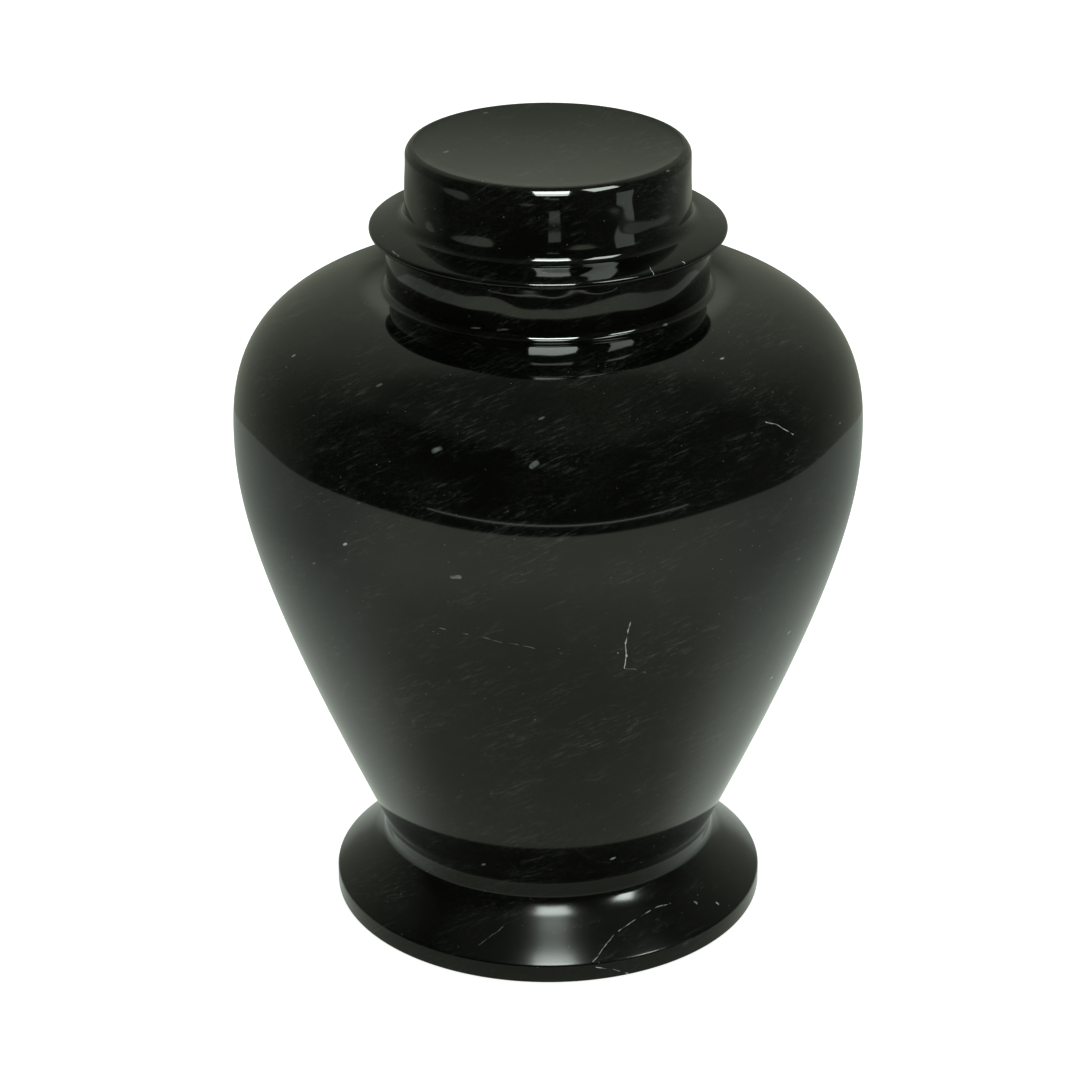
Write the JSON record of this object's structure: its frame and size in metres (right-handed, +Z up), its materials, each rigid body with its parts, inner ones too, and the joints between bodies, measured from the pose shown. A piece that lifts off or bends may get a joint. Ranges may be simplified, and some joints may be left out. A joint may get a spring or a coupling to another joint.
{
  "type": "cremation urn",
  "caption": "Turned black marble urn with a spreading foot, tapering bowl, full shoulder, short neck and a loose flat-topped lid; hollow inside.",
  "frame": {"origin": "centre of the underside, on the surface the urn stands on", "axes": "+Z up along the axis of turning; the urn is round, so X and Y are free"},
  "size_m": [0.207, 0.207, 0.267],
  "materials": {
    "body_marble": "polished black marble with fine grey grain, white specks and a few thin white veins",
    "lid_marble": "polished black marble with fine grey grain, white specks and a few thin white veins"
  },
  "bodies": {
    "root": {"urn_body": "body_marble", "urn_lid": "lid_marble"}
  },
  "joints": []
}
